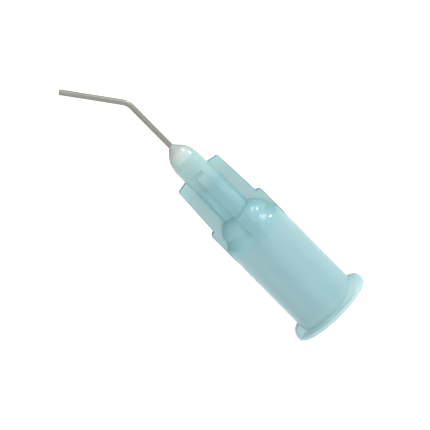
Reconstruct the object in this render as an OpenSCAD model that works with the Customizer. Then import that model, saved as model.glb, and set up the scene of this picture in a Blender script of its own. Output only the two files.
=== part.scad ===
// Bent-tip dispensing needle: a moulded luer-lock hub with four fins, a bent steel
// cannula, and the adhesive bead that bonds the two. Millimetres.
// The hub stands on its mouth at z = 0, with +Z along the luer axis towards the nose.
// The cannula bends towards -X, in the plane of one pair of fins.

/* [Luer socket] */
// Diameter of the socket at its mouth
socket_d = 4.3; // [4.2:0.01:4.4]
// Taper of the socket, as diameter lost per length, in percent
socket_taper = 6; // [5:0.5:7]
// Depth of the tapered socket
socket_depth = 9; // [8:0.1:9.4]
// Chamfer round the mouth
mouth_chamfer = 0.15; // [0.05:0.05:0.3]
// Diameter of the funnel where it leaves the socket's floor
funnel_d = 2.4; // [1.6:0.1:3]
// Length of the funnel down to the cannula's inner end
funnel_len = 1.4; // [0.8:0.1:2]

/* [Flange and lugs] */
// Diameter across the flange and its two lugs
flange_d = 7.8; // [7.6:0.01:7.9]
// Thickness of the flange between the lugs
rim_h = 0.32; // [0.28:0.02:0.5]
// Radius round the flange's lower edge
rim_edge_r = 0.1; // [0.06:0.02:0.2]
// Lean of the lugs' outer side, towards the axis
lug_draft = 8; // [0:1:12]
// Radius round the crest of the lugs
crest_r = 0.26; // [0.1:0.02:0.3]
// Lead of the lugs' thread, per turn
lug_lead = 5; // [4:0.25:6]
// Angle of the flank that faces the nose, from square to the axis
lug_flank = 30; // [15:1:32]
// Direction in which the first lug starts, from +X
lug_start = -80; // [-180:1:180]
// Arc over which a lug climbs at its lead
lug_climb = 66; // [60:2:100]
// Arc over which a lug stays at its full height
lug_crown = 18; // [4:2:40]
// Arc over which a lug falls back to the flange
lug_fall = 18; // [10:2:38]

/* [Barrel] */
// Diameter of the barrel
barrel_d = 6.1; // [5.96:0.02:6.2]
// Diameter of the barrel at the foot of its shoulder
barrel_top_d = 5.92; // [5.7:0.02:5.94]
// Height at which the shoulder starts
shoulder_z = 10.3; // [9.9:0.05:10.5]
// Height of the shoulder's cone
shoulder_h = 0.75; // [0.4:0.05:0.9]
// Diameter of the dome above the cone
dome_d = 4.9; // [4.6:0.05:5.3]
// Height of the dome's top, where the core leaves it
dome_top_z = 12.5; // [12.3:0.02:12.8]
// Radius of the dome
dome_r = 1.42; // [0.8:0.02:1.44]

/* [Core and nose] */
// Height of the moulded hub, without the adhesive
hub_h = 18.9; // [18.4:0.1:19.6]
// Diameter of the core where it leaves the shoulder
core_d = 2.84; // [2.6:0.02:3.2]
// Diameter of the nose
nose_d = 2.7; // [2.4:0.02:2.8]
// Height over which the nose's end curves in
nose_curve_h = 0.65; // [0.3:0.05:0.8]
// Diameter of the adhesive well in the nose
well_d = 1.8; // [1.4:0.1:2.1]
// Depth of the adhesive well
well_depth = 3.4; // [2:0.1:4.5]

/* [Fins] */
// Number of fins round the core
fin_count = 4; // [2:2:6]
// Thickness of a fin
fin_t = 0.85; // [0.5:0.05:1.1]
// Length of the nose above the fins
nose_bare_h = 1.6; // [1.2:0.02:2.4]
// Slope of the fins' tops, falling outwards
fin_top_slope = 11; // [0:1:20]
// Diameter across two fins at their tops
fin_top_d = 4.8; // [4.4:0.02:5]
// Diameter across two fins just above the step
fin_foot_d = 5.24; // [5.04:0.02:5.6]
// Height at which the fins step out to the barrel's width
fin_step_z = 12.3; // [12.2:0.05:13]
// Rise of the step from its outer edge to the fin above
fin_step_rise = 0.2; // [0.05:0.05:0.4]
// Diameter across two fins below the step
fin_step_d = 6.1; // [6.06:0.02:6.2]
// Height at which the fins emerge from the barrel
fin_foot_z = 7.8; // [5:0.1:9]
// Rise over which they reach their full width
fin_run_out = 1.6; // [0.5:0.1:2]
// Radius at the fins' outer top corners
fin_corner_r = 0.22; // [0.05:0.01:0.35]
// Radius at the step's outer corner
step_corner_r = 0.34; // [0.05:0.01:0.36]

/* [Cannula] */
// Outside diameter of the cannula
cannula_d = 0.51; // [0.4:0.01:0.72]
// Bore of the cannula
cannula_bore_d = 0.26; // [0.15:0.01:0.4]
// Height of the corner where the straight part's axis meets the tip's
bend_z = 25.8; // [23.5:0.1:27]
// Angle through which the cannula is bent
bend_angle = 36; // [20:1:60]
// Radius of the bend, on the tube's axis
bend_r = 1.6; // [1:0.1:2.5]
// Length of the tip, from the corner to its end
tip_len = 6.05; // [4:0.05:9]
// Radial clearance of the cannula in the core's bore
cannula_fit = 0.01; // [0.005:0.005:0.02]

/* [Adhesive] */
// Height of the adhesive bead above the hub
bead_h = 1.36; // [1.2:0.02:2]
// Height that the adhesive climbs up the cannula
meniscus_h = 0.5; // [0.2:0.05:0.7]

/* [Hidden] */

ROUND = 96;          // facets of a preview circle
FINE_ROUND = 48;     // the same on the cannula
ARC_STEPS = 8;       // segments of a rounded corner
BEAD_STEPS = 16;     // segments of the bead's dome
LUG_STEP = 5;        // degrees between the sections of the lugs
CREST_STEPS = 5;     // radial steps across the crest's rounding
LUGS = 2;            // a luer lock has a double-start thread
CUT = 1;             // how far a cutter runs past what it cuts
BITE = 0.5;          // how deep a joined shape reaches into its carrier

flange_r = flange_d / 2;
barrel_r = barrel_d / 2;
nose_r = nose_d / 2;
well_r = well_d / 2;
cannula_r = cannula_d / 2;
well_floor_z = hub_h - well_depth;
fin_top_z = hub_h - nose_bare_h;
funnel_top_z = socket_depth + funnel_len;

// Points of the arc that rounds corner b of the path a-b-c to radius r
function corner(a, b, c, r) =
    r <= 0 ? [b] :
    let (
        u = (a - b) / norm(a - b),
        v = (c - b) / norm(c - b),
        half = acos(u * v) / 2,
        centre = b + (u + v) / norm(u + v) * r / sin(half),
        from = b + u * r / tan(half) - centre,
        to = b + v * r / tan(half) - centre,
        start = atan2(from.y, from.x),
        sweep = (atan2(to.y, to.x) - start + 540) % 360 - 180
    )
    [for (i = [0:ARC_STEPS])
        let (angle = start + sweep * i / ARC_STEPS)
        centre + r * [cos(angle), sin(angle)]];

// Closed outline through [x, y, radius] points, with each corner rounded to its radius
function rounded(path) =
    let (n = len(path), at = [for (p = path) [p.x, p.y]])
    [for (i = [0:n - 1])
        each corner(at[(i + n - 1) % n], at[i], at[(i + 1) % n], path[i].z)];

// Half-ellipse of the nose's end and its bead: radius at height z above the curve's start
bead_curve_h = nose_curve_h + bead_h;
bead_span = bead_curve_h / sqrt(1 - pow(cannula_r / nose_r, 2));
function nose_curve_r(z) = nose_r * sqrt(1 - pow(z / bead_span, 2));
hub_top_r = nose_curve_r(nose_curve_h);

// ---- Hub ----

// Barrel with its conical shoulder and dome, turned about the luer axis
module barrel() {
    rotate_extrude($fn = ROUND)
        polygon(rounded([
            [0, 0, 0],
            [barrel_r, 0, 0],
            [barrel_r, fin_foot_z, 0],
            [barrel_top_d / 2, shoulder_z, 0],
            [dome_d / 2, shoulder_z + shoulder_h, 0],
            [dome_d / 2, dome_top_z, dome_r],
            [0, dome_top_z, 0]
        ]));
}

// Core and nose, which rise out of the shoulder
module core() {
    rotate_extrude($fn = ROUND)
        polygon([
            [0, funnel_top_z],
            [core_d / 2, funnel_top_z],
            [core_d / 2, dome_top_z],
            [nose_r, hub_h - nose_curve_h],
            [nose_curve_r(nose_curve_h / 2), hub_h - nose_curve_h / 2],
            [hub_top_r, hub_h],
            [0, hub_h]
        ]);
}

// Outline that the fins fill: sloping tops, tapered sides, and the step out to the barrel
module fin_outline() {
    slope = tan(fin_top_slope);
    top_r = fin_top_d / 2;
    polygon(rounded([
        [0, fin_foot_z, 0],
        [barrel_top_d / 2, fin_foot_z, 0],
        [fin_step_d / 2, fin_foot_z + fin_run_out, 0],
        [fin_step_d / 2, fin_step_z, step_corner_r],
        [fin_foot_d / 2, fin_step_z + fin_step_rise, 0],
        [top_r, fin_top_z - (top_r - nose_r) * slope, fin_corner_r],
        [nose_r, fin_top_z, 0],
        [0, fin_top_z, 0]
    ]));
}

module fins() {
    intersection() {
        rotate_extrude($fn = ROUND) fin_outline();
        for (i = [0:fin_count / 2 - 1])
            rotate(i * 360 / fin_count)
                translate([-flange_r, -fin_t / 2, 0])
                    cube([flange_d, fin_t, fin_top_z + CUT]);
    }
}

// Climb of a lug above the flange at a turn from the start of its thread
lug_rise = lug_lead * lug_climb / 360;
function lug_height(turn) =
    turn < lug_climb ? lug_lead * turn / 360 :
    turn < lug_climb + lug_crown ? lug_rise :
    turn < lug_climb + lug_crown + lug_fall ?
        lug_rise * (1 - (turn - lug_climb - lug_crown) / lug_fall) : 0;

// Radius of the lugs' outer side at height z
function lug_outer_r(z) = flange_r - max(z - rim_h, 0) * tan(lug_draft);
lug_top_r = lug_outer_r(rim_h + lug_rise);

// Drop of a crest that ends at radius end_r, along a quarter round of radius round_r
function crest_drop(r, end_r, round_r) =
    let (over = min(max(r - end_r + round_r, 0), round_r))
    round_r - sqrt(pow(round_r, 2) - pow(over, 2));

// Height of the flange's upper side at radius r and angle a from +X
function flange_top(r, a) =
    let (
        height = lug_height((a - lug_start + 720) % (360 / LUGS)),
        flank_z = rim_h + max(0, height - (r - barrel_r) * tan(lug_flank)),
        round_r = rim_edge_r + (crest_r - rim_edge_r) * height / lug_rise
    )
    flank_z - crest_drop(r, lug_outer_r(flank_z), round_r);

// Space above the flange and its lugs: a ring whose underside follows their flanks
module above_lugs() {
    crest_from = lug_top_r - crest_r;
    crest_to = flange_r + rim_edge_r / 2;
    radii = concat(
        [barrel_r - BITE, (barrel_r + crest_from) / 2],
        [for (i = [0:CREST_STEPS]) crest_from + (crest_to - crest_from) * i / CREST_STEPS],
        [flange_r + CUT]
    );
    roof_z = rim_h + lug_rise + BITE + CUT;
    under = len(radii);
    ring = under + 2;
    turns = 360 / LUG_STEP;
    points = [for (t = [0:turns - 1])
        let (a = t * LUG_STEP)
        each concat(
            [for (r = radii) [r * cos(a), r * sin(a), flange_top(r, a)]],
            [for (r = [flange_r + CUT, barrel_r - BITE]) [r * cos(a), r * sin(a), roof_z]]
        )];
    // Each quad is cut into two triangles, because a helical patch isn't flat
    faces = [for (t = [0:turns - 1], k = [0:ring - 1])
        let (
            here = t * ring,
            next = (t + 1) % turns * ring,
            l = (k + 1) % ring
        )
        each [
            [here + k, next + l, next + k],
            [here + k, here + l, next + l]
        ]];
    polyhedron(points, faces);
}

module flange() {
    blank_h = rim_h + lug_rise + BITE / 2;
    difference() {
        rotate_extrude($fn = ROUND)
            polygon(rounded([
                [0, 0, 0],
                [flange_r, 0, rim_edge_r],
                [flange_r, rim_h, 0],
                [lug_outer_r(blank_h), blank_h, 0],
                [0, blank_h, 0]
            ]));
        above_lugs();
    }
}

// Luer taper, funnel and cannula bore, as one turned shape
module fluid_path() {
    mouth_r = socket_d / 2;
    floor_r = mouth_r - socket_depth * socket_taper / 200;
    bore_r = cannula_r + cannula_fit;
    rotate_extrude($fn = ROUND)
        polygon([
            [0, -CUT],
            [mouth_r + mouth_chamfer + CUT, -CUT],
            [mouth_r, mouth_chamfer],
            [floor_r, socket_depth],
            [funnel_d / 2, socket_depth],
            [bore_r, funnel_top_z],
            [bore_r, well_floor_z + CUT],
            [0, well_floor_z + CUT]
        ]);
}

module hub() {
    color([0.60, 0.80, 0.83])
        difference() {
            union() {
                barrel();
                core();
                fins();
                flange();
            }
            fluid_path();
            translate([0, 0, well_floor_z])
                cylinder(h = well_depth + CUT, r = well_r, $fn = ROUND);
        }
}

// ---- Cannula ----

// The cannula's path with a round section of diameter d: up the hub, round the bend, along the tip
module cannula_run(d, past = 0) {
    bend_trim = bend_r * tan(bend_angle / 2);
    bend_foot_z = bend_z - bend_trim;
    translate([0, 0, funnel_top_z - past])
        cylinder(h = bend_foot_z - funnel_top_z + past, d = d, $fn = FINE_ROUND);
    translate([-bend_r, 0, bend_foot_z])
        rotate([90, 0, 0]) {
            rotate_extrude(angle = bend_angle, $fn = ROUND)
                translate([bend_r, 0])
                    circle(d = d, $fn = FINE_ROUND);
            rotate(bend_angle)
                translate([bend_r, 0, 0])
                    rotate([-90, 0, 0])
                        cylinder(h = tip_len - bend_trim + past, d = d, $fn = FINE_ROUND);
        }
}

module cannula() {
    color([0.72, 0.72, 0.68])
        difference() {
            cannula_run(cannula_d);
            cannula_run(cannula_bore_d, CUT);
        }
}

// ---- Adhesive ----

// Plug in the well, and the bead that domes over the nose and climbs the cannula
module adhesive_bead() {
    bead_top_z = hub_h + bead_h;
    foot_z = bead_top_z - meniscus_h / 2;
    foot_r = nose_curve_r(foot_z - hub_h + nose_curve_h);
    color([0.86, 0.90, 0.88])
        rotate_extrude($fn = ROUND)
            polygon(concat(
                [
                    [cannula_r, well_floor_z],
                    [well_r, well_floor_z],
                    [well_r, hub_h]
                ],
                [for (i = [0:BEAD_STEPS])
                    let (z = (foot_z - hub_h) * sin(90 * i / BEAD_STEPS))
                    [nose_curve_r(z + nose_curve_h), hub_h + z]],
                [
                    [(cannula_r + foot_r) / 2, bead_top_z],
                    [cannula_r, bead_top_z + meniscus_h / 2]
                ]
            ));
}

hub();
cannula();
adhesive_bead();
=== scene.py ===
# %% [markdown]
# # A bent dispensing needle
# A dispensing needle turns onto a syringe of glue, flux or paste. It is three things: a moulded
# hub of cloudy polypropylene, a bent steel tube, and the cured adhesive that holds the tube in
# the hub's nose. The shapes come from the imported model, which is loaded first and never moved.
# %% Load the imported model
import math

import bmesh
import bpy
from mathutils import Matrix, Vector


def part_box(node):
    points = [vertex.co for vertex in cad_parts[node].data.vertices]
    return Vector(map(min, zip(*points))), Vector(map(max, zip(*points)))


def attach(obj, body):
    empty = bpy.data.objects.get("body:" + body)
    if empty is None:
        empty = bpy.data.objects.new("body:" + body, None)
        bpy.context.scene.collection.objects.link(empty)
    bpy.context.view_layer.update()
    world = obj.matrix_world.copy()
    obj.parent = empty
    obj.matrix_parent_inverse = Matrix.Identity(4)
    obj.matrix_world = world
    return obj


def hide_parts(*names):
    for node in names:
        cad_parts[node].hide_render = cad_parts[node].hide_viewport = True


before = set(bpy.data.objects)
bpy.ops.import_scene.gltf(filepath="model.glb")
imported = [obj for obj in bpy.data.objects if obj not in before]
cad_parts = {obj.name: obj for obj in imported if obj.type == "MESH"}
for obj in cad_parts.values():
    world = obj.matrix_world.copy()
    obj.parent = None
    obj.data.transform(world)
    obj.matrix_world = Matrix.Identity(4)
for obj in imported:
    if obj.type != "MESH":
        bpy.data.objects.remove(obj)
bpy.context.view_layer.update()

MM = 0.001
hub_low, hub_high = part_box("hub")
tube_low, tube_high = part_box("cannula")
bead_low, bead_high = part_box("adhesive_bead")
scene = bpy.context.scene


def in_mm(size):
    """A size in millimetres, rounded for printing."""
    return [round(side / MM, 2) for side in size]


for name, size in (("hub", hub_high - hub_low), ("cannula", tube_high - tube_low),
                   ("adhesive_bead", bead_high - bead_low)):
    print("packed", name, in_mm(size), "mm")

# %% [markdown]
# ## The camera
# The needle is seen from a little above its base, with the camera rolled, so that it leans
# across the picture from the lower right to the upper left. A long lens keeps its sides nearly
# parallel, as in a catalogue picture. The camera could be turned by three angles, but its axes
# are built from the direction of view and the roll, because those two are easy to picture.
# %% Camera
VIEW_ELEVATION = math.radians(11.5)
CAMERA_ROLL = math.radians(44.8)
CAMERA_DISTANCE = 220 * MM
SEEN_WIDTH = 37.55 * MM
AIM = Vector((-1.485, 0, 13.42)) * MM
SENSOR_WIDTH = 36
NEAR_CLIP = 5 * MM

toward = Vector((0, math.cos(VIEW_ELEVATION), -math.sin(VIEW_ELEVATION)))
level_right = Vector((1, 0, 0))
level_up = level_right.cross(toward)
right = math.cos(CAMERA_ROLL) * level_right - math.sin(CAMERA_ROLL) * level_up
up = math.sin(CAMERA_ROLL) * level_right + math.cos(CAMERA_ROLL) * level_up

camera_data = bpy.data.cameras.new("camera")
camera_data.sensor_width = SENSOR_WIDTH
camera_data.lens = SENSOR_WIDTH * CAMERA_DISTANCE / SEEN_WIDTH
camera_data.clip_start = NEAR_CLIP
camera = bpy.data.objects.new("camera", camera_data)
camera_axes = Matrix((right, up, -toward)).transposed().to_4x4()
camera.matrix_world = Matrix.Translation(AIM - toward * CAMERA_DISTANCE) @ camera_axes
scene.collection.objects.link(camera)
scene.camera = camera
print("lens", round(camera_data.lens, 1), "mm")

# %% [markdown]
# ## Floor
# The part stands on a plain pale floor. A curved studio sweep would hide the horizon, but this
# camera looks down on the floor and sees none. So a flat disc is enough, made so big that its
# edge is far outside the picture.
# %% A helper that makes a mesh object from a bmesh
def finish_piece(bm, name, smooth_angle=None):
    """Turns a bmesh into a linked object at the origin, and prints what it measures."""
    mesh = bpy.data.meshes.new(name)
    bm.to_mesh(mesh)
    bm.free()
    piece = bpy.data.objects.new(name, mesh)
    scene.collection.objects.link(piece)
    if smooth_angle is not None:
        mesh.shade_smooth()
        mesh.set_sharp_from_angle(angle=smooth_angle)
    print(name, len(mesh.polygons), "faces,", in_mm(piece.dimensions), "mm")
    return piece

# %% Floor
FLOOR_RADIUS = 1.5
FLOOR_SIDES = 96

bm = bmesh.new()
bmesh.ops.create_circle(bm, cap_ends=True, segments=FLOOR_SIDES, radius=FLOOR_RADIUS)
floor = finish_piece(bm, "floor")

# %% [markdown]
# ## Writing shaders as expressions
# A material is a graph, but its maths reads best as an expression. The small class below wraps
# one output socket. Adding or multiplying two wrapped sockets makes the Math node that does it.
# Every new node, a Math node too, comes from one method. It takes the node's type, its settings
# and the values or links of its sockets, by name or by number.
# %% A socket that can be written in expressions
class Socket:
    """One output socket of a node tree, usable in Python maths."""

    def __init__(self, tree, socket):
        self.tree = tree
        self.socket = socket

    def feed(self, slot, value):
        """Links a wrapped socket to an input, or sets the input's own value."""
        if isinstance(value, Socket):
            self.tree.links.new(value.socket, slot)
        else:
            slot.default_value = value

    def node(self, kind, settings, sockets, output=0):
        """Makes a node, sets it up, feeds its sockets and returns one of its outputs."""
        made = self.tree.nodes.new(kind)
        for name, value in settings.items():
            setattr(made, name, value)
        for key, value in sockets.items():
            self.feed(made.inputs[key], value)
        return Socket(self.tree, made.outputs[output])

    def math(self, operation, *values):
        """A Math node on these values, in order."""
        return self.node("ShaderNodeMath", {"operation": operation}, dict(enumerate(values)))

    def __add__(self, other):
        return self.math("ADD", self, other)

    def __radd__(self, other):
        return self.math("ADD", other, self)

    def __sub__(self, other):
        return self.math("SUBTRACT", self, other)

    def __rsub__(self, other):
        return self.math("SUBTRACT", other, self)

    def __mul__(self, other):
        return self.math("MULTIPLY", self, other)

    def __rmul__(self, other):
        return self.math("MULTIPLY", other, self)

    def __truediv__(self, other):
        return self.math("DIVIDE", self, other)

    def __rtruediv__(self, other):
        return self.math("DIVIDE", other, self)

    def __pow__(self, other):
        return self.math("POWER", self, other)

    def __rpow__(self, other):
        return self.math("POWER", other, self)

    def __abs__(self):
        return self.math("ABSOLUTE", self)

    def ease(self, low, high):
        """0 at low, 1 at high and a soft step between them; low may be the larger."""
        return self.node("ShaderNodeMapRange", {"interpolation_type": "SMOOTHSTEP"},
                         {"Value": self, "From Min": low, "From Max": high})

    def mix(self, first, second):
        """The first colour where this value is 0, and the second where it is 1."""
        return self.node("ShaderNodeMix", {"data_type": "RGBA"},
                         {0: self, 6: first, 7: second}, output=2)

    def noise(self, scale, detail):
        """A noise between 0 and 1 over this position."""
        return self.node("ShaderNodeTexNoise", {},
                         {"Vector": self, "Scale": scale, "Detail": detail})

    def mapped(self, **sockets):
        """This position, scaled or turned."""
        return self.node("ShaderNodeMapping", {}, {"Vector": self, **sockets})

    def part(self, axis):
        """One of the three parts of a position: 0, 1 or 2 for x, y or z."""
        return self.node("ShaderNodeSeparateXYZ", {}, {"Vector": self}, output=axis)

    def bump(self, strength, distance):
        """A surface normal that treats this value as a height."""
        return self.node("ShaderNodeBump", {},
                         {"Strength": strength, "Distance": distance, "Height": self})


def coordinates(tree, kind):
    """A tree's texture coordinates of one kind, which its expressions start from."""
    return Socket(tree, None).node("ShaderNodeTexCoord", {}, {}, output=kind)

# %% [markdown]
# ## Light
# Cloudy plastic is lit by whatever surrounds it, so most of the light is a white surround. It is
# dim behind and bright in front, a little above and to the right, as from a wall of windows
# behind the camera. That shapes the round parts without a hard edge. Strong lamps could do it
# alone, but they bleach the side that they stand on. So the two lamps are small soft boxes. They
# give the highlights on the dome, the shoulder and the adhesive, and make the right side paler.
# %% Light
DIM_SIDE, BRIGHT_SIDE = 0.34, 1.4
WINDOW_SIDE = Vector((0.2, -0.945, 0.24)).normalized()
DIM_UNTIL, BRIGHT_FROM = -0.5, 0.9
WHITE = (1, 1, 1, 1)
LAMP_AIM = Vector((0, 0, hub_high.z * 0.6))

world = bpy.data.worlds.new("white_surround")
scene.world = world
world.use_nodes = True
tree = world.node_tree
around = coordinates(tree, "Generated")
facing_window = around.node("ShaderNodeVectorMath", {"operation": "DOT_PRODUCT"},
                            {0: around, 1: WINDOW_SIDE}, output=1)
strength = DIM_SIDE + BRIGHT_SIDE * facing_window.ease(DIM_UNTIL, BRIGHT_FROM)
around.feed(tree.nodes["Background"].inputs["Strength"], strength)
around.feed(tree.nodes["Background"].inputs["Color"], WHITE)
scene.view_settings.view_transform = "Standard"


def soft_box(name, direction, distance, width, height, power):
    """A rectangular area light that looks at the hub."""
    data = bpy.data.lights.new(name, "AREA")
    data.shape = "RECTANGLE"
    data.size, data.size_y = width, height
    data.energy = power
    lamp = bpy.data.objects.new(name, data)
    aim_back = Vector(direction).normalized()
    lamp.location = LAMP_AIM + aim_back * distance
    lamp.rotation_euler = aim_back.to_track_quat("Z", "Y").to_euler()
    scene.collection.objects.link(lamp)
    print(name, "at", [round(part, 2) for part in lamp.location], "m")


soft_box("window_box", direction=(0.72, -0.12, 0.68), distance=0.6,
         width=0.26, height=0.12, power=0.65)
soft_box("glint_box", direction=(0.95, -0.14, 0.28), distance=0.5,
         width=0.08, height=0.08, power=0.6)

# %% [markdown]
# ## Floor finish
# The floor is matt and nearly white, and glows a little, as a light table does, which thins the
# shadow under the flange. A very faint mottle keeps it from being one flat value. A picture of
# paper would do that too, but noise needs no file. Each finish starts from the Principled shader.
# What changes over the surface is fed by nodes, and a constant is set on the shader's socket.
# %% Two helpers that start a finish
def new_finish(name, piece):
    """Gives a piece a new material, and returns its shader and its Object coordinates."""
    material = bpy.data.materials.new(name)
    material.use_nodes = True
    piece.data.materials.clear()
    piece.data.materials.append(material)
    print(name, "on", piece.name)
    shader = material.node_tree.nodes["Principled BSDF"].inputs
    return shader, coordinates(material.node_tree, "Object")


def set_shader(shader, **constants):
    """Sets sockets that have one value all over the surface."""
    for name, value in constants.items():
        shader[name.replace("_", " ")].default_value = value

# %% Floor material
FLOOR_GREY, FLOOR_WHITE = (0.88, 0.88, 0.88, 1), (0.92, 0.92, 0.92, 1)
MOTTLES_PER_M = 12.0

shader, place = new_finish("pale_floor", floor)
mottle = place.noise(MOTTLES_PER_M, detail=2.0)
place.feed(shader["Base Color"], mottle.mix(FLOOR_GREY, FLOOR_WHITE))
set_shader(shader, Roughness=0.9, Specular_IOR_Level=0.1,
           Emission_Color=WHITE, Emission_Strength=0.3)

# %% [markdown]
# ## The hub's moulding
# The hub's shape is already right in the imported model, but that mesh is loose triangles, which
# shade as facets. A copy has its doubles merged and its flat areas joined into single faces.
# Blender's own smoothing by edge angle is the usual next step, but on this mesh it left triangles
# of a wrong shade on the flat fins. Here each corner of each face takes its shading from the
# faces that meet there and point nearly the same way, weighted by their area and their angle at
# that point. So the fins stay flat, the round parts are smooth and the real edges stay sharp.
# %% Hub
SMOOTH_ANGLE = math.radians(42)
FLAT_ANGLE = math.radians(0.1)
WELD_DISTANCE, SLIVER = 0.0005 * MM, 0.0002 * MM


def corner_normals(bm, angle):
    """For every face corner, the mean normal of the faces there within an angle of its own."""
    bm.normal_update()
    least_dot = math.cos(angle)
    normals = []
    for face in bm.faces:
        for corner in face.loops:
            near = [other.face.normal * (other.face.calc_area() * other.calc_angle())
                    for other in corner.vert.link_loops
                    if other.face.normal.dot(face.normal) > least_dot]
            normals.append(sum(near, Vector()).normalized())
    return normals


bm = bmesh.new()
bm.from_mesh(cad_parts["hub"].data)
bmesh.ops.remove_doubles(bm, verts=bm.verts, dist=WELD_DISTANCE)
bmesh.ops.dissolve_degenerate(bm, edges=bm.edges, dist=SLIVER)
bmesh.ops.dissolve_limit(bm, angle_limit=FLAT_ANGLE, verts=bm.verts, edges=bm.edges)
print("open edges after merging:", sum(not edge.is_manifold for edge in bm.edges))
normals = corner_normals(bm, SMOOTH_ANGLE)
hub = finish_piece(bm, "hub_moulding")
hub.data.shade_smooth()
hub.data.normals_split_custom_set(normals)
print("shaded", len(normals), "corners")
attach(hub, "root")
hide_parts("hub")

# %% [markdown]
# ## Cloudy plastic
# Unpigmented polypropylene with a little aqua dye lets light in and scatters it. Thin fins look
# pale, the hollow barrel is in between, and the solid middle is the deepest colour. The renderer
# can scatter light inside the part, but here that made the near fin glow. So the depth of colour
# is worked out from where each point is on the part, which is the same from every side. A share
# of real transmission keeps the surface from looking like paint.
#
# The first step finds out where a point is. Each mask below is 1 on its own part of the hub, 0
# elsewhere, and eases between the two. Each pair in brackets says where such a step starts, at 0,
# and where it ends, at 1. All sizes are in millimetres, and FIN_LEAN is how far the upper fins
# lean in for each millimetre that they rise.
# %% Where the plastic is thick or thin
HUB_TOP_Z = hub_high.z / MM
DOME_R, CORE_R = 2.45, 1.42
FIN_STEP_Z = 12.3
LOWER_FIN_R, UPPER_FIN_R, FIN_LEAN = 3.05, 2.62, 0.044

FIN_FLANK, FIN_FOOT = (0.5, 0.44), (9.0, 10.6)
FIN_STEP = (FIN_STEP_Z - 0.05, FIN_STEP_Z + 0.05)
FIN_ROOT_NARROWS = (11.5, 12.5)
PAST_FIN_ROOT, INSIDE_FIN_EDGE = (0.0, 0.2), (0.03, 0.12)
SOLID_FOOT, SOLID_TOP = (9.0, 10.3), (16.5, 15.6)
GLUE_BEHIND = (15.6, 17.2)
GLUE_EDGE = (HUB_TOP_Z - 1.1, HUB_TOP_Z - 0.2)
FLANGE_TOP, FLANGE_INSIDE = (1.5, 0.7), (2.95, 3.2)

shader, place = new_finish("cloudy_aqua_plastic", hub)
x, y, z = [place.part(axis) / MM for axis in range(3)]
radius = (x * x + y * y) ** 0.5

off_fin_plane = place.math("MINIMUM", abs(x), abs(y))
in_fin = off_fin_plane.ease(*FIN_FLANK) * z.ease(*FIN_FOOT)
above_step = z.ease(*FIN_STEP)
fin_root = DOME_R + (CORE_R - DOME_R) * z.ease(*FIN_ROOT_NARROWS)
fin_edge = LOWER_FIN_R + above_step * (UPPER_FIN_R - LOWER_FIN_R - FIN_LEAN * (z - FIN_STEP_Z))
inside_edge = (fin_edge - radius).ease(*INSIDE_FIN_EDGE)
fin_side = in_fin * (radius - fin_root).ease(*PAST_FIN_ROOT) * inside_edge
# The fin rim is the fins' outer faces, which take painted shade low down and painted light near
# the top.
painted_fin_rim = in_fin * (1 - inside_edge)

solid = z.ease(*SOLID_FOOT) * z.ease(*SOLID_TOP)
glue_behind = z.ease(*GLUE_BEHIND)
glue_edge = z.ease(*GLUE_EDGE)
flange = z.ease(*FLANGE_TOP) * radius.ease(*FLANGE_INSIDE)

# %% [markdown]
# The colours are then laid over one another through the masks. They could be painted on the
# mesh, but masks need no unwrapping. The melt flowed along the barrel, so its streaks are a noise
# stretched that way. A fine grain gives the slight orange peel of a moulded surface, and the
# clouds vary its gloss.
# %% Plastic colour and surface
BARREL_DEEP, BARREL_PALE = (0.235, 0.440, 0.475, 1), (0.365, 0.570, 0.605, 1)
SOLID_DEEP, SOLID_PALE = (0.225, 0.455, 0.490, 1), (0.265, 0.505, 0.540, 1)
FIN_SIDE_COLOUR = (0.335, 0.502, 0.508, 1)
GLUE_BEHIND_COLOUR = (0.365, 0.580, 0.575, 1)
GLUE_EDGE_COLOUR = (0.400, 0.585, 0.565, 1)
# The rim colours are painted light and shade. The lower, darker one is painted shade that dims
# the near fin's outer face, where the front light falls on it. The upper, paler one is painted
# light that fills in the shade on the fins' sloped tops.
LOW_RIM_PAINTED_SHADE, HIGH_RIM_PAINTED_LIGHT = (0.218, 0.428, 0.462, 1), (0.365, 0.575, 0.570, 1)
FLANGE_COLOUR = (0.425, 0.620, 0.630, 1)
FLOW_SCALE = (600.0, 600.0, 70.0)
CLOUDS_PER_M, GRAINS_PER_M = 420.0, 2600.0
PLASTIC_ROUGHNESS, CLOUD_ROUGHNESS = 0.34, 0.1
GRAIN_STRENGTH, GRAIN_HEIGHT = 0.15, 0.02 * MM

flow = place.mapped(Scale=FLOW_SCALE).noise(1.0, detail=3.0)
cloud = place.noise(CLOUDS_PER_M, detail=2.0)
grain = place.noise(GRAINS_PER_M, detail=2.0)

colour = solid.mix(flow.mix(BARREL_DEEP, BARREL_PALE), cloud.mix(SOLID_DEEP, SOLID_PALE))
colour = fin_side.mix(colour, FIN_SIDE_COLOUR)
colour = glue_behind.mix(colour, GLUE_BEHIND_COLOUR)
colour = glue_edge.mix(colour, GLUE_EDGE_COLOUR)
# Painted shade and painted light on the fins' outer faces.
colour = painted_fin_rim.mix(colour, glue_behind.mix(LOW_RIM_PAINTED_SHADE, HIGH_RIM_PAINTED_LIGHT))
colour = flange.mix(colour, FLANGE_COLOUR)
place.feed(shader["Base Color"], colour)
place.feed(shader["Roughness"], PLASTIC_ROUGHNESS + CLOUD_ROUGHNESS * cloud)
place.feed(shader["Normal"], grain.bump(GRAIN_STRENGTH, GRAIN_HEIGHT))
set_shader(shader, IOR=1.49, Transmission_Weight=0.4, Specular_IOR_Level=0.05,
           Coat_Weight=0.65, Coat_Roughness=0.1)
print("the plastic has", len(place.tree.nodes), "nodes")

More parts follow.
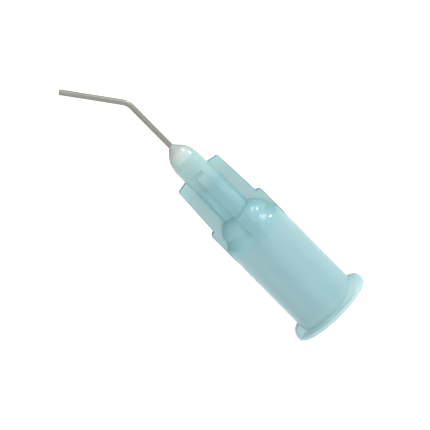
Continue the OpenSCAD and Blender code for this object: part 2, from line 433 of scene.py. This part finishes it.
# %% [markdown]
# ## The steel tube
# The cannula is drawn steel tube, cut square, and bent over a former. A curve with a round
# bevel could give the same skin. Here the model follows the real steps instead, so that each
# length and the bend stay plain sizes: one circle is extruded up the hub, spun round the bend
# and extruded again to the tip. Solidify then gives that skin its wall and leaves the bore open.
# %% Tube
TUBE_R, TUBE_BORE_R = 0.255 * MM, 0.13 * MM
TUBE_FOOT_Z = 10.4 * MM
BEND_Z, BEND_R, BEND_ANGLE = 25.8 * MM, 1.6 * MM, math.radians(36)
TIP_LENGTH = 6.049 * MM
TUBE_SIDES, BEND_STEPS = 24, 14
TUBE_SMOOTH_ANGLE = math.radians(40)

bend_trim = BEND_R * math.tan(BEND_ANGLE / 2)
bend_foot_z = BEND_Z - bend_trim
tip_axis = Vector((-math.sin(BEND_ANGLE), 0, math.cos(BEND_ANGLE)))


def extrude_ring(bm, ring, offset):
    """Extrudes a ring of edges by an offset, and returns the ring at its far end."""
    made = bmesh.ops.extrude_edge_only(bm, edges=ring)["geom"]
    moved = [part for part in made if isinstance(part, bmesh.types.BMVert)]
    bmesh.ops.translate(bm, verts=moved, vec=offset)
    return [part for part in made if isinstance(part, bmesh.types.BMEdge)
            and all(vert in moved for vert in part.verts)]


bm = bmesh.new()
bmesh.ops.create_circle(bm, segments=TUBE_SIDES, radius=TUBE_R,
                        matrix=Matrix.Translation((0, 0, TUBE_FOOT_Z)))
ring = extrude_ring(bm, bm.edges[:], Vector((0, 0, bend_foot_z - TUBE_FOOT_Z)))
ring_verts = list({vert for edge in ring for vert in edge.verts})
spun = bmesh.ops.spin(bm, geom=ring + ring_verts, cent=(-BEND_R, 0, bend_foot_z),
                      axis=(0, -1, 0), angle=BEND_ANGLE, steps=BEND_STEPS)
ring = [part for part in spun["geom_last"] if isinstance(part, bmesh.types.BMEdge)]
extrude_ring(bm, ring, tip_axis * (TIP_LENGTH - bend_trim))
bmesh.ops.recalc_face_normals(bm, faces=bm.faces)
bmesh.ops.solidify(bm, geom=bm.faces, thickness=TUBE_R - TUBE_BORE_R)
tube = finish_piece(bm, "steel_tube", TUBE_SMOOTH_ANGLE)
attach(tube, "root")
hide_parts("cannula")

# %% [markdown]
# ## Drawn steel
# Drawing leaves fine lines along the tube. They could be an anisotropic gloss, but a noise that
# varies the colour, roughness and bump is simpler, and enough on a tube half a millimetre thick.
# It is stretched along the straight length, and a Mapping node turns the same pattern to follow
# the tip. The two meet in the bend.
# %% Steel
STEEL_DARK, STEEL_PALE = (0.17, 0.168, 0.145, 1), (0.28, 0.275, 0.245, 1)
LINE_SCALE = (9000.0, 9000.0, 260.0)
PAST_BEND = (25.5, 26.1)
STEEL_ROUGHNESS, LINE_ROUGHNESS = 0.26, 0.16
LINE_STRENGTH, LINE_HEIGHT = 0.25, 0.01 * MM

shader, place = new_finish("drawn_steel", tube)
past_bend = (place.part(2) / MM).ease(*PAST_BEND)
straight_lines = place.mapped(Scale=LINE_SCALE).noise(1.0, detail=2.0)
tip_place = place.mapped(Rotation=(0, BEND_ANGLE, 0))
tip_lines = tip_place.mapped(Scale=LINE_SCALE).noise(1.0, detail=2.0)
lines = straight_lines * (1 - past_bend) + tip_lines * past_bend
place.feed(shader["Base Color"], lines.mix(STEEL_DARK, STEEL_PALE))
place.feed(shader["Roughness"], STEEL_ROUGHNESS + LINE_ROUGHNESS * lines)
place.feed(shader["Normal"], lines.bump(LINE_STRENGTH, LINE_HEIGHT))
set_shader(shader, Metallic=1.0)

# %% [markdown]
# ## The adhesive
# The glue is poured into the well round the tube, wets the nose and the tube, and sets as a
# dome. Metaballs could mimic a drop, but this one is a turned shape, so one outline is spun a
# full turn. The outline fills the well, crosses the top of the nose, follows the half-ellipse
# that rounds the nose and the bead as one, and climbs the tube a little. Its foot is sunk a hair
# into the nose, because the renderer can't tell which of two faces in one place is in front.
# %% Adhesive bead
NOSE_R, NOSE_CURVE_H = 1.35 * MM, 0.65 * MM
BEAD_H, MENISCUS_H = 1.36 * MM, 0.5 * MM
WELL_R, WELL_DEPTH = 0.9 * MM, 3.4 * MM
HAIR = 0.02 * MM
CURVE_STEPS, SPIN_STEPS = 20, 64
BEAD_WELD_DISTANCE = 0.0001 * MM
BEAD_SMOOTH_ANGLE = math.radians(35)

curve_span = (NOSE_CURVE_H + BEAD_H) / math.sqrt(1 - (TUBE_R / NOSE_R) ** 2)


def curve_radius(height):
    """Radius of the half-ellipse that rounds the nose and its bead, above the curve's start."""
    return NOSE_R * math.sqrt(1 - (height / curve_span) ** 2)


nose_top_z = hub_high.z
bead_top_z = nose_top_z + BEAD_H
curve_h = BEAD_H - MENISCUS_H / 2
curve_top_r = curve_radius(curve_h + NOSE_CURVE_H)
well_floor_z = nose_top_z - WELL_DEPTH + HAIR
foot_z = nose_top_z - HAIR
outline = [
    (TUBE_R, well_floor_z),
    (WELL_R - HAIR, well_floor_z),
    (WELL_R - HAIR, foot_z),
    (curve_radius(NOSE_CURVE_H - HAIR) - HAIR / 2, foot_z),
]
for step in range(CURVE_STEPS + 1):
    rise = curve_h * math.sin(math.pi / 2 * step / CURVE_STEPS)
    outline.append((curve_radius(rise + NOSE_CURVE_H), nose_top_z + rise))
outline += [((TUBE_R + curve_top_r) / 2, bead_top_z), (TUBE_R, bead_top_z + MENISCUS_H / 2)]

bm = bmesh.new()
corners = [bm.verts.new((r, 0, z)) for r, z in outline]
edges = [bm.edges.new((corners[i - 1], corners[i])) for i in range(len(corners))]
bmesh.ops.spin(bm, geom=corners + edges, cent=(0, 0, 0), axis=(0, 0, 1), angle=math.tau,
               steps=SPIN_STEPS, use_merge=True)
bmesh.ops.remove_doubles(bm, verts=bm.verts, dist=BEAD_WELD_DISTANCE)
bmesh.ops.recalc_face_normals(bm, faces=bm.faces)
bead = finish_piece(bm, "adhesive", BEAD_SMOOTH_ANGLE)
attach(bead, "root")
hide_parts("adhesive_bead")

# %% [markdown]
# ## Cured adhesive
# The glue is clear with a little milk in it. Glass with a milky volume inside would be nearer to
# the real thing, but this drop is tiny, so it is simply a pale body with some transmission and a
# wet gloss. It takes a little aqua from the plastic near its foot, and darkens near the top,
# where the steel shows through. NEAR_FOOT and NEAR_TUBE are heights above the nose, in
# millimetres, as pairs in brackets again.
# %% Adhesive material
GLUE_DULL, GLUE_MILKY = (0.385, 0.445, 0.408, 1), (0.455, 0.515, 0.475, 1)
GLUE_FOOT_COLOUR = (0.345, 0.492, 0.470, 1)
GLUE_BY_TUBE_COLOUR = (0.310, 0.365, 0.335, 1)
MILK_PER_M = 900.0
NEAR_FOOT, NEAR_TUBE = (1.0, 0.0), (0.7, 1.4)
GLUE_ROUGHNESS, MILK_ROUGHNESS = 0.2, 0.12

shader, place = new_finish("cured_adhesive", bead)
above_nose = place.part(2) / MM - HUB_TOP_Z
milk = place.noise(MILK_PER_M, detail=3.0)
colour = milk.mix(GLUE_DULL, GLUE_MILKY)
colour = above_nose.ease(*NEAR_FOOT).mix(colour, GLUE_FOOT_COLOUR)
colour = above_nose.ease(*NEAR_TUBE).mix(colour, GLUE_BY_TUBE_COLOUR)
place.feed(shader["Base Color"], colour)
place.feed(shader["Roughness"], GLUE_ROUGHNESS + MILK_ROUGHNESS * milk)
set_shader(shader, IOR=1.5, Transmission_Weight=0.15, Specular_IOR_Level=0.4,
           Coat_Weight=0.6, Coat_Roughness=0.18)
